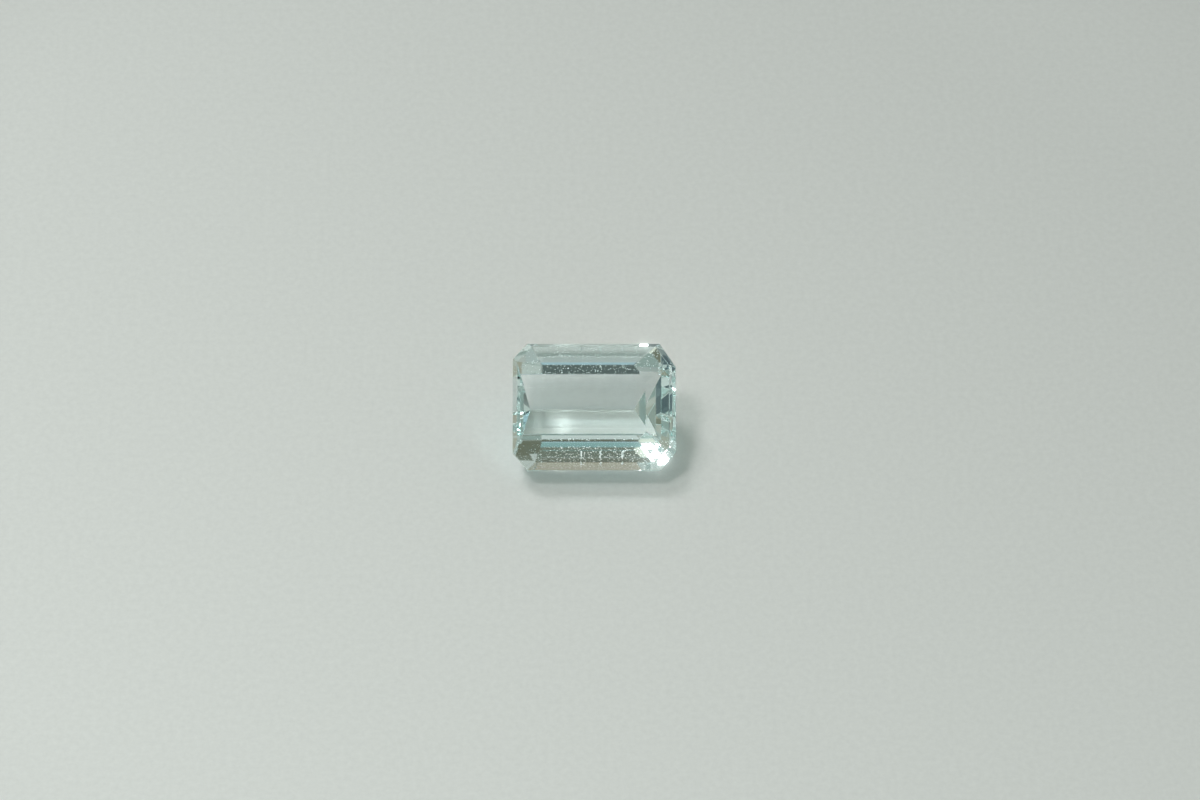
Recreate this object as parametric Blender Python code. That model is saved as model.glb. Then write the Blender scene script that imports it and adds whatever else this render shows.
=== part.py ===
# A loose aquamarine, cut as one clear eight-sided stone with long step facets.
# A block of the rough is ground down facet by facet, the way a cutter works.
# The finished stone lies on the keel facet of its front side, so its table
# leans towards -Y, as a pointed stone does when it is put down on a surface.
# The cut is worked out in millimetres and scaled to metres once, at the end.

import bpy
import bmesh
from math import cos, hypot, radians, sin, tan
from mathutils import Matrix, Vector

# Girdle outline, in millimetres: X runs along the stone, Y across it
LENGTH = 9.00
WIDTH = 7.22

# What each clipped corner takes off the long side and off the short side
CORNER_CUTS = {
    "back_left": (0.80, 0.86),
    "back_right": (0.88, 1.32),
    "front_left": (0.83, 1.02),
    "front_right": (0.83, 1.08),
}

# Heights of the two crown steps
CROWN_STEPS = (0.45, 0.44)

# How far below the girdle's upper edge each pavilion facet starts. The first
# level is the girdle's thickness, and the last facets run down to the keel.
# The front side was ground further in, which leaves its girdle thin.
PAVILION_LEVELS = (0.30, 2.09, 2.50)
FRONT_LEVELS = (0.07, 2.09, 2.41)

# Slopes in degrees from the table plane, from the girdle outwards
CROWN_SLOPES = {
    "back": (58.9, 20.5),
    "front": (52.1, 21.8),
    "left": (62.1, 18.2),
    "right": (51.0, 18.6),
    "back_left": (50.6, 20.0),
    "back_right": (52.8, 14.9),
    "front_left": (38.6, 24.8),
    "front_right": (48.4, 16.6),
}
PAVILION_SLOPES = {
    "back": (50.3, 37.2, 27.9),
    "front": (45.3, 41.8, 26.6),
    "left": (68.3, 59.8, 54.5),
    "right": (57.5, 48.3, 41.3),
    "back_left": (72.0, 57.6, 50.3),
    "back_right": (62.3, 54.4, 52.0),
    "front_left": (67.3, 53.8, 42.8),
    "front_right": (56.9, 45.7, 41.0),
}

# The side whose keel facet the stone rests on
RESTING_SIDE = "front"

# Finish of a polished stone
BODY_COLOUR = (0.80, 0.93, 0.93, 1.0)
ROUGHNESS = 0.0
REFRACTIVE_INDEX = 1.577

MM = 0.001
CROWN_HEIGHT = sum(CROWN_STEPS)
BLOCK_DEPTH = 4.0


def clear_scene():
    """Remove every object, so that the script can be run again."""
    for old in list(bpy.data.objects):
        bpy.data.objects.remove(old)


def straight_sides():
    """Direction and distance from the axis of the four main sides."""
    return {
        "back": (Vector((0, 1, 0)), WIDTH / 2),
        "front": (Vector((0, -1, 0)), WIDTH / 2),
        "left": (Vector((-1, 0, 0)), LENGTH / 2),
        "right": (Vector((1, 0, 0)), LENGTH / 2),
    }


def corner_side(name):
    """Direction and distance from the axis of one clipped corner."""
    off_long, off_short = CORNER_CUTS[name]
    across, along = name.split("_")
    side_y = 1 if across == "back" else -1
    side_x = 1 if along == "right" else -1
    chord = hypot(off_long, off_short)
    direction = Vector((side_x * off_short / chord, side_y * off_long / chord, 0))
    corner_end = Vector((side_x * (LENGTH / 2 - off_long), side_y * WIDTH / 2, 0))
    return direction, direction.dot(corner_end)


def all_sides():
    """Every side of the outline, by name."""
    sides = straight_sides()
    for name in CORNER_CUTS:
        sides[name] = corner_side(name)
    return sides


def grind(stone, point, normal):
    """Take off all that lies outside a plane, and close the new facet."""
    everything = stone.verts[:] + stone.edges[:] + stone.faces[:]
    cut = bmesh.ops.bisect_plane(
        stone, geom=everything, dist=1e-5, plane_co=point, plane_no=normal, clear_outer=True)
    rim = [edge for edge in cut["geom_cut"] if isinstance(edge, bmesh.types.BMEdge)]
    if rim:
        bmesh.ops.contextual_create(stone, geom=rim)


def rough_block():
    """The block that the stone is ground from: its top is the table."""
    stone = bmesh.new()
    height = CROWN_HEIGHT + BLOCK_DEPTH
    bmesh.ops.create_cube(stone, size=1.0)
    bmesh.ops.scale(stone, vec=(LENGTH, WIDTH, height), verts=stone.verts)
    middle = CROWN_HEIGHT - height / 2
    bmesh.ops.translate(stone, vec=(0, 0, middle), verts=stone.verts)
    return stone


def grind_steps(stone, side, start, slopes, heights, upward):
    """Grind one side's facets, each starting where the one before it ends."""
    direction, reach = side
    level = start
    for slope, height in zip(slopes, heights):
        angle = radians(slope)
        normal = direction * sin(angle) + Vector((0, 0, upward * cos(angle)))
        grind(stone, direction * reach + Vector((0, 0, level)), normal)
        reach -= height / tan(angle)
        level += upward * height


def grind_pavilion(stone, name, side):
    """Grind the facets below one side's girdle, down to the keel."""
    levels = FRONT_LEVELS if name == "front" else PAVILION_LEVELS
    depths = [below - above for above, below in zip(levels, levels[1:])] + [BLOCK_DEPTH]
    grind_steps(stone, side, -levels[0], PAVILION_SLOPES[name], depths, -1)


def lean_on_keel_facet(stone):
    """Tip the stone onto its resting facet and centre its box on the origin."""
    direction = straight_sides()[RESTING_SIDE][0]
    keel_slope = radians(PAVILION_SLOPES[RESTING_SIDE][-1])
    tip_axis = direction.cross(Vector((0, 0, -1)))
    turn = Matrix.Rotation(keel_slope, 4, tip_axis)
    bmesh.ops.transform(stone, matrix=Matrix.Scale(MM, 4) @ turn, verts=stone.verts)
    spots = [vert.co for vert in stone.verts]
    low = Vector([min(spot[i] for spot in spots) for i in range(3)])
    high = Vector([max(spot[i] for spot in spots) for i in range(3)])
    to_origin = Vector((-(low.x + high.x) / 2, -(low.y + high.y) / 2, -low.z))
    bmesh.ops.translate(stone, vec=to_origin, verts=stone.verts)


def aquamarine_material():
    """Clear, very pale blue-green beryl with a polished surface."""
    material = bpy.data.materials.new("aquamarine")
    material.use_nodes = True
    shader = material.node_tree.nodes["Principled BSDF"]
    shader.inputs["Base Color"].default_value = BODY_COLOUR
    shader.inputs["Metallic"].default_value = 0.0
    shader.inputs["Roughness"].default_value = ROUGHNESS
    shader.inputs["IOR"].default_value = REFRACTIVE_INDEX
    shader.inputs["Transmission Weight"].default_value = 1.0
    material.diffuse_color = BODY_COLOUR
    return material


def cut_stone():
    """The whole stone: outline first, then crown and pavilion, side by side."""
    stone = rough_block()
    sides = all_sides()
    for name in CORNER_CUTS:
        direction, reach = sides[name]
        grind(stone, direction * reach, direction)
    for name, side in sides.items():
        grind_steps(stone, side, 0.0, CROWN_SLOPES[name], CROWN_STEPS, 1)
        grind_pavilion(stone, name, side)
    bmesh.ops.recalc_face_normals(stone, faces=stone.faces)
    lean_on_keel_facet(stone)
    return stone


def build():
    """Make the stone and put it in the object's own collection."""
    clear_scene()
    collection = bpy.data.collections.new("aquamarine")
    bpy.context.scene.collection.children.link(collection)
    mesh = bpy.data.meshes.new("cut_aquamarine")
    stone = cut_stone()
    stone.to_mesh(mesh)
    stone.free()
    mesh.materials.append(aquamarine_material())
    collection.objects.link(bpy.data.objects.new("cut_aquamarine", mesh))


build()
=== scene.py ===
import bpy
import bmesh
from math import cos, radians, sin
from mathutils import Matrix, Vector

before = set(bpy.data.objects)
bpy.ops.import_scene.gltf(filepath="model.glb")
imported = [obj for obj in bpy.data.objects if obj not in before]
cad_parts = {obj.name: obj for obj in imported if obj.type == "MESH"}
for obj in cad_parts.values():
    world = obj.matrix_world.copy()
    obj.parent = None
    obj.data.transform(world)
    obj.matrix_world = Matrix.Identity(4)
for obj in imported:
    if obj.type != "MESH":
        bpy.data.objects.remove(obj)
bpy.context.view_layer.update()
mm = 0.001


# Small helpers

def linear(hexColour):
    # sRGB hex to linear RGBA
    values = [int(hexColour[i:i + 2], 16) / 255 for i in (1, 3, 5)]
    return [v / 12.92 if v <= 0.04045 else ((v + 0.055) / 1.055) ** 2.4 for v in values] + [1.0]


def addNode(tree, kind, settings=None, links=None):
    # settings: a property, an input's name or its number; links: an input's name or number and its source
    node = tree.nodes.new(kind)
    for name, value in (settings or {}).items():
        if isinstance(name, int) or name in node.inputs:
            node.inputs[name].default_value = value
        else:
            setattr(node, name, value)
    for name, source in (links or {}).items():
        tree.links.new(source, node.inputs[name])
    return node


def towards(azimuth, elevation):
    # unit vector, in degrees: azimuth 0 is +Y, away from the camera, and 90 is +X
    a, e = radians(azimuth), radians(elevation)
    return Vector((sin(a) * cos(e), cos(a) * cos(e), sin(e)))


# Camera

shot = {
    "elevation": 48.6,                # degrees above the table
    "lens": 200.0,                    # mm, long, so that the stone's sides stay parallel
    "sensor": 36.0,                   # mm
    "pictureWidth": 66.23,            # mm across the frame, at the stone
    "lookAt": (0.315, 0.223, 2.970),  # mm, the middle of the frame
    "clipStart": 0.01,                # m
}


def makeCamera(s):
    data = bpy.data.cameras.new("macroCamera")
    data.lens = s["lens"]
    data.sensor_width = s["sensor"]
    data.clip_start = s["clipStart"]
    camera = bpy.data.objects.new("macroCamera", data)
    bpy.context.scene.collection.objects.link(camera)
    back = towards(180, s["elevation"])
    distance = s["pictureWidth"] * mm * s["lens"] / s["sensor"]
    camera.location = Vector(s["lookAt"]) * mm + back * distance
    camera.rotation_mode = "QUATERNION"
    camera.rotation_quaternion = (-back).to_track_quat("-Z", "Y")
    bpy.context.scene.camera = camera


makeCamera(shot)
print("camera ready")


# Floor

sheet = {
    "halfWidth": 0.6,         # m, past every view's edge
    "gap": 0.02,              # mm below the stone, so that the two faces never coincide
    "paintedLitTone": "#dfe1df",  # painted light: the paper's tone where the window light falls fullest
    "paintedShadedTone": "#c8cac8",     # painted shade: the paper's tone where the window light falls off
    "fallOff": 70.0,          # mm from one tone to the other
    "fallOffAzimuth": 40,     # degrees, the way in which it falls off
    "dimFrom": 40.0,          # mm from the stone: from here the sheet's tone is painted darker, standing in for the window light falling off
    "dimTo": 100.0,           # mm
    "dimmest": 0.3,           # share of its tone that the sheet keeps from there on
    "fibre": 0.35,            # mm, clumps of pulp fibre; real ones are finer, and these are drawn to show
    "mottle": 0.035,          # how much a clump lightens or darkens the sheet
    "roughness": 0.92,
    "specular": 0.15,
}


def drawingPaper(s):
    # Uncoated drawing paper, pressed wet from pulp: matt, almost white, with a faint fibre mottle, and
    # painted light and shade for the window light's fall-off
    material = bpy.data.materials.new("drawingPaper")
    material.use_nodes = True
    tree = material.node_tree
    shader = tree.nodes["Principled BSDF"]
    shader.inputs["Roughness"].default_value = s["roughness"]
    shader.inputs["Specular IOR Level"].default_value = s["specular"]
    place = addNode(tree, "ShaderNodeTexCoord").outputs["Object"]
    # painted light and shade: the tone runs from the lit tone to the shaded tone across the sheet
    across = addNode(tree, "ShaderNodeVectorMath",
                     {"operation": "DOT_PRODUCT", 1: towards(s["fallOffAzimuth"], 0)}, {0: place})
    tone = addNode(tree, "ShaderNodeMapRange",
                   {"From Min": -s["fallOff"] / 2 * mm, "From Max": s["fallOff"] / 2 * mm},
                   {"Value": across.outputs["Value"]})
    paintedWindowFalloff = addNode(tree, "ShaderNodeMix",
                     {"data_type": "RGBA", 6: linear(s["paintedLitTone"]), 7: linear(s["paintedShadedTone"])},
                     {0: tone.outputs[0]})
    fibres = addNode(tree, "ShaderNodeTexNoise",
                     {"Scale": 1 / (s["fibre"] * mm), "Detail": 4.0, "Roughness": 0.65}, {"Vector": place})
    mottle = addNode(tree, "ShaderNodeMapRange",
                     {"From Min": 0.3, "From Max": 0.7,
                      "To Min": 1 - s["mottle"], "To Max": 1 + s["mottle"]},
                     {"Value": fibres.outputs["Fac"]})
    # painted shade: the sheet's tone darkens with distance from the stone
    away = addNode(tree, "ShaderNodeVectorMath", {"operation": "LENGTH"}, {0: place})
    paintedDimming = addNode(tree, "ShaderNodeMapRange",
                  {"interpolation_type": "SMOOTHSTEP", "From Min": s["dimFrom"] * mm,
                   "From Max": s["dimTo"] * mm, "To Min": 1.0, "To Max": s["dimmest"]},
                  {"Value": away.outputs["Value"]})
    strength = addNode(tree, "ShaderNodeMath", {"operation": "MULTIPLY"},
                       {0: mottle.outputs[0], 1: paintedDimming.outputs[0]})
    paper = addNode(tree, "ShaderNodeVectorMath", {"operation": "SCALE"},
                    {0: paintedWindowFalloff.outputs[2], "Scale": strength.outputs[0]})
    tree.links.new(paper.outputs[0], shader.inputs["Base Color"])
    return material


def makeFloor(s):
    mesh = bpy.data.meshes.new("paperSheet")
    bm = bmesh.new()
    bmesh.ops.create_grid(bm, x_segments=1, y_segments=1, size=s["halfWidth"])
    bm.to_mesh(mesh)
    bm.free()
    floor = bpy.data.objects.new("paperSheet", mesh)
    floor.location.z = -s["gap"] * mm
    bpy.context.scene.collection.objects.link(floor)
    mesh.materials.append(drawingPaper(s))


makeFloor(sheet)
print("floor ready")


# Light: two windows, and a room that the facets show

# Directions are in degrees; distance and width in metres, power in watts
lamps = {
    "backWindow": {"azimuth": -33, "elevation": 50, "distance": 0.6, "width": 0.18, "power": 1.02,
                   "colour": "#ffffff"},
    "sideWindow": {"azimuth": -92, "elevation": 67, "distance": 0.6, "width": 0.17, "power": 0.86,
                   "colour": "#ffffff"},
}


def makeLamp(name, s):
    data = bpy.data.lights.new(name, "AREA")
    data.shape = "DISK"
    data.size = s["width"]
    data.energy = s["power"]
    data.color = linear(s["colour"])[:3]
    lamp = bpy.data.objects.new(name, data)
    bpy.context.scene.collection.objects.link(lamp)
    way = towards(s["azimuth"], s["elevation"])
    lamp.location = way * s["distance"]
    lamp.rotation_mode = "QUATERNION"
    lamp.rotation_quaternion = way.to_track_quat("Z", "Y")
    lamp.visible_camera = False


for lampName, lampSettings in lamps.items():
    makeLamp(lampName, lampSettings)


# Round cards hang around the room. Each is plain out to its inner angle and has faded into what is
# behind it at its outer angle, in degrees. Every flat facet sends the eye to one spot of the room, so
# each card gives its tone to a few facets. A later card hangs in front of the ones above it.
room = {
    "walls": "#b9bfb8",
    "tones": {"olive": "#6c6c5a", "slate": "#565f5d", "teal": "#86a6a2", "shade": "#46575c",
              "grey": "#8b9a93", "beige": "#9d9785", "mist": "#a5c0c8", "pale": "#c9cfca",
              "day": "#dfe0cd", "pane": "#ffffff"},
    "cards": [
        # the room around the stone
        {"azimuth": 180, "elevation": 32, "inner": 8, "outer": 30, "tone": "mist"},
        {"azimuth": -136, "elevation": 17, "inner": 26, "outer": 30, "tone": "shade"},
        {"azimuth": 108, "elevation": 52, "inner": 15, "outer": 20, "tone": "beige"},
        {"azimuth": -88, "elevation": 33, "inner": 9, "outer": 14, "tone": "grey"},
        # behind the stone and overhead: the long bands along the front and the back
        {"azimuth": 0, "elevation": 20, "inner": 8, "outer": 11, "tone": "beige"},
        {"azimuth": 0, "elevation": 39, "inner": 7, "outer": 10, "tone": "olive"},
        {"azimuth": -165, "elevation": 68, "inner": 3, "outer": 7, "tone": "grey"},
        {"azimuth": 180, "elevation": 61, "inner": 6, "outer": 8, "tone": "slate"},
        {"azimuth": 110, "elevation": 80, "inner": 13, "outer": 17, "tone": "olive"},
        {"azimuth": 180, "elevation": 78, "inner": 4, "outer": 6, "tone": "olive"},
        {"azimuth": 180, "elevation": 85.5, "inner": 2.8, "outer": 4.6, "tone": "teal"},
        {"azimuth": 180, "elevation": 72, "inner": 2, "outer": 4, "tone": "pale"},
        # by the side window: the front right corner and its glints
        {"azimuth": -95, "elevation": 80, "inner": 6, "outer": 8, "tone": "day"},
        {"azimuth": -125, "elevation": 70, "inner": 3, "outer": 5, "tone": "olive"},
        {"azimuth": -150, "elevation": 70, "inner": 2, "outer": 4, "tone": "grey"},
        {"azimuth": -138, "elevation": 58, "inner": 3, "outer": 5, "tone": "teal"},
        {"azimuth": -129.5, "elevation": 80.4, "inner": 0.5, "outer": 0.8, "tone": "pane", "glow": 6.0},
        {"azimuth": -150.6, "elevation": 58, "inner": 1.5, "outer": 2.5, "tone": "pane", "glow": 3.0},
        {"azimuth": -128.5, "elevation": 60, "inner": 1, "outer": 2, "tone": "pane", "glow": 3.0},
        {"azimuth": -119, "elevation": 57, "inner": 1.5, "outer": 2.5, "tone": "pane", "glow": 3.0},
        {"azimuth": -104, "elevation": 60.7, "inner": 1.5, "outer": 2.5, "tone": "pane", "glow": 3.0},
        # the glint on the back edge
        {"azimuth": -119, "elevation": 19.5, "inner": 1.5, "outer": 2, "tone": "pane", "glow": 12.0},
        # to the right: what the left end shows
        {"azimuth": 136, "elevation": 43, "inner": 8, "outer": 10, "tone": "grey"},
        {"azimuth": 104, "elevation": 26, "inner": 9, "outer": 12, "tone": "grey"},
        {"azimuth": 118, "elevation": 19, "inner": 4, "outer": 8, "tone": "shade"},
        {"azimuth": 148, "elevation": 71, "inner": 3, "outer": 5, "tone": "grey"},
        {"azimuth": 98, "elevation": 30, "inner": 1, "outer": 1.5, "tone": "pane", "glow": 3.0},
    ],
}


def makeRoom(s):
    world = bpy.data.worlds.new("studioRoom")
    world.use_nodes = True
    bpy.context.scene.world = world
    tree = world.node_tree
    way = addNode(tree, "ShaderNodeTexCoord").outputs["Generated"]
    colour = addNode(tree, "ShaderNodeRGB").outputs[0]
    colour.default_value = linear(s["walls"])
    for card in s["cards"]:
        near = addNode(tree, "ShaderNodeVectorMath",
                       {"operation": "DOT_PRODUCT", 1: towards(card["azimuth"], card["elevation"])},
                       {0: way})
        fade = addNode(tree, "ShaderNodeMapRange",
                       {"interpolation_type": "SMOOTHSTEP", "From Min": cos(radians(card["outer"])),
                        "From Max": cos(radians(card["inner"]))}, {"Value": near.outputs["Value"]})
        tone = [card.get("glow", 1) * v for v in linear(s["tones"][card["tone"]])]
        mix = addNode(tree, "ShaderNodeMix", {"data_type": "RGBA", 7: tone}, {0: fade.outputs[0], 6: colour})
        colour = mix.outputs[2]
    tree.links.new(colour, tree.nodes["Background"].inputs["Color"])


makeRoom(room)
print("light ready")


# Stone

stoneLook = {
    "ior": 1.577,
    "absorption": "#7bf7f4",        # red is absorbed most, so that long paths turn blue-green
    "density": 20.0,                # per metre, faint: short paths stay clear
    "edgeWear": 0.02,               # mm, the polisher's rounding of each facet edge
    "dustySlope": 18.7,             # degrees from straight down: the under facet that kept its lapping marks
    "slopeWithin": 4,               # degrees, how near to that slope a facet is looked for
    "onFacetWithin": 0.005,         # mm, what counts as the facet's own surface
    "markSpacing": 0.15,            # mm between the marks
    "markSize": 0.09,               # mm across, drawn coarser than lapping grit to show
    "markRoughness": 0.55,
    "streaks": (-0.66, 0.39, 1.60),  # mm along the stone, lines where the marks crowd
    "streakWidth": 0.07,            # mm to each side
    "streakGrowth": 1.2,            # how far the marks grow in mid-streak, as a share of their size
    "streakDrift": 0.10,            # mm, how far they wander to the side
    "driftLength": 0.30,            # mm, over what length
    "streakHeight": 0.44,           # mm over the paper, the middle of the streaks
    "streakReach": 0.17,            # mm up and down from there
    "weldWithin": 0.001,            # mm
    "flatWithin": 0.3,              # degrees, what still counts as one facet
    "wornFrom": 2,                  # degrees between two facets, from where their edge is rounded
}


def findFacet(stone, slope, within):
    # the plane of the largest face that looks down and forward at this slope: its normal and its offset
    aim = Vector((0, -sin(radians(slope)), -cos(radians(slope))))
    faces = [p for p in stone.data.polygons if p.normal.dot(aim) > cos(radians(within))]
    best = max(faces, key=lambda p: p.area)
    return best.normal.copy(), best.normal.dot(best.center)


def beryl(s, stone):
    # Beryl, lapped flat and polished on a wheel: mirror-bright facets over a clear, faintly
    # blue-green depth, with one under facet still pitted from lapping
    material = bpy.data.materials.new("polishedBeryl")
    material.use_nodes = True
    tree = material.node_tree
    shader = tree.nodes["Principled BSDF"]
    shader.inputs["Base Color"].default_value = (1, 1, 1, 1)
    shader.inputs["IOR"].default_value = s["ior"]
    shader.inputs["Transmission Weight"].default_value = 1.0
    depth = addNode(tree, "ShaderNodeVolumeAbsorption",
                    {"Color": linear(s["absorption"]), "Density": s["density"]})
    tree.links.new(depth.outputs[0], tree.nodes["Material Output"].inputs["Volume"])

    # the marks lie on that facet alone
    place = addNode(tree, "ShaderNodeTexCoord").outputs["Object"]
    normal, offset = findFacet(stone, s["dustySlope"], s["slopeWithin"])
    height = addNode(tree, "ShaderNodeVectorMath", {"operation": "DOT_PRODUCT", 1: normal}, {0: place})
    onFacet = addNode(tree, "ShaderNodeMath",
                      {"operation": "COMPARE", 1: offset, 2: s["onFacetWithin"] * mm},
                      {0: height.outputs["Value"]})

    # the marks grow until they run together along each streak
    axes = addNode(tree, "ShaderNodeSeparateXYZ", None, {0: place}).outputs
    drift = addNode(tree, "ShaderNodeTexNoise", {"Scale": 1 / (s["driftLength"] * mm), "Detail": 0.0},
                    {"Vector": place})
    along = addNode(tree, "ShaderNodeMath", {"operation": "MULTIPLY_ADD", 1: s["streakDrift"] * mm},
                    {0: drift.outputs["Fac"], 2: axes["X"]}).outputs[0]
    level = addNode(tree, "ShaderNodeMath",
                    {"operation": "COMPARE", 1: s["streakHeight"] * mm, 2: s["streakReach"] * mm},
                    {0: axes["Z"]}).outputs[0]
    reach = addNode(tree, "ShaderNodeMath", {"operation": "MULTIPLY", 0: s["markSize"], 1: 0.5}).outputs[0]
    for x in s["streaks"]:
        aside = addNode(tree, "ShaderNodeMath", {"operation": "SUBTRACT", 1: x * mm}, {0: along})
        width = addNode(tree, "ShaderNodeMath", {"operation": "ABSOLUTE"}, {0: aside.outputs[0]})
        crowd = addNode(tree, "ShaderNodeMapRange",
                        {"From Min": 0.0, "From Max": s["streakWidth"] * mm,
                         "To Min": s["markSize"] * s["streakGrowth"], "To Max": 0.0},
                        {"Value": width.outputs[0]})
        wider = addNode(tree, "ShaderNodeMath", {"operation": "MULTIPLY_ADD"},
                        {0: crowd.outputs[0], 1: level, 2: reach})
        reach = wider.outputs[0]

    # one round mark to a cell
    cells = addNode(tree, "ShaderNodeTexVoronoi", {"Scale": 1 / (s["markSpacing"] * mm)}, {"Vector": place})
    apart = addNode(tree, "ShaderNodeMath", {"operation": "MULTIPLY", 1: s["markSpacing"]},
                    {0: cells.outputs["Distance"]})
    pit = addNode(tree, "ShaderNodeMath", {"operation": "LESS_THAN"}, {0: apart.outputs[0], 1: reach})
    marked = addNode(tree, "ShaderNodeMath", {"operation": "MULTIPLY"},
                     {0: pit.outputs[0], 1: onFacet.outputs[0]})
    rough = addNode(tree, "ShaderNodeMapRange", {"To Min": 0.0, "To Max": s["markRoughness"]},
                    {"Value": marked.outputs[0]})
    tree.links.new(rough.outputs[0], shader.inputs["Roughness"])
    return material


def dressStone(s):
    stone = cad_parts["cut_aquamarine"]
    stone.data.materials.clear()
    stone.data.materials.append(beryl(s, stone))
    weld = stone.modifiers.new("weld", "WELD")
    weld.merge_threshold = s["weldWithin"] * mm
    facets = stone.modifiers.new("wholeFacets", "DECIMATE")
    facets.decimate_type = "DISSOLVE"
    facets.angle_limit = radians(s["flatWithin"])
    wear = stone.modifiers.new("edgeWear", "BEVEL")
    wear.width = s["edgeWear"] * mm
    wear.segments = 1
    wear.limit_method = "ANGLE"
    wear.angle_limit = radians(s["wornFrom"])
    for polygon in stone.data.polygons:
        polygon.use_smooth = False


dressStone(stoneLook)
print("stone ready")


# Picture: light paths long enough for a gem, and a lens's slight bloom around the brightest glints

lightPaths = {
    "max_bounces": 24,
    "glossy_bounces": 20,        # the mirror facets inside count as glossy
    "transmission_bounces": 24,
    "diffuse_bounces": 3,
    "sample_clamp_indirect": 0,  # the light that the stone gathers onto the paper is kept whole
    "blur_glossy": 0.0,          # and sharp
}
for name, value in lightPaths.items():
    setattr(bpy.context.scene.cycles, name, value)

lensBloom = {"threshold": 0.95, "strength": 0.5, "size": 0.15}  # size as a share of the picture


def makeBloom(s):
    scene = bpy.context.scene
    scene.use_nodes = True
    tree = scene.node_tree
    picture = tree.nodes["Render Layers"].outputs["Image"]
    bloom = addNode(tree, "CompositorNodeGlare",
                    {"glare_type": "BLOOM", "quality": "HIGH", "Threshold": s["threshold"],
                     "Strength": s["strength"], "Size": s["size"]}, {"Image": picture})
    tree.links.new(bloom.outputs["Image"], tree.nodes["Composite"].inputs["Image"])


makeBloom(lensBloom)
bpy.context.scene.view_settings.view_transform = "Standard"
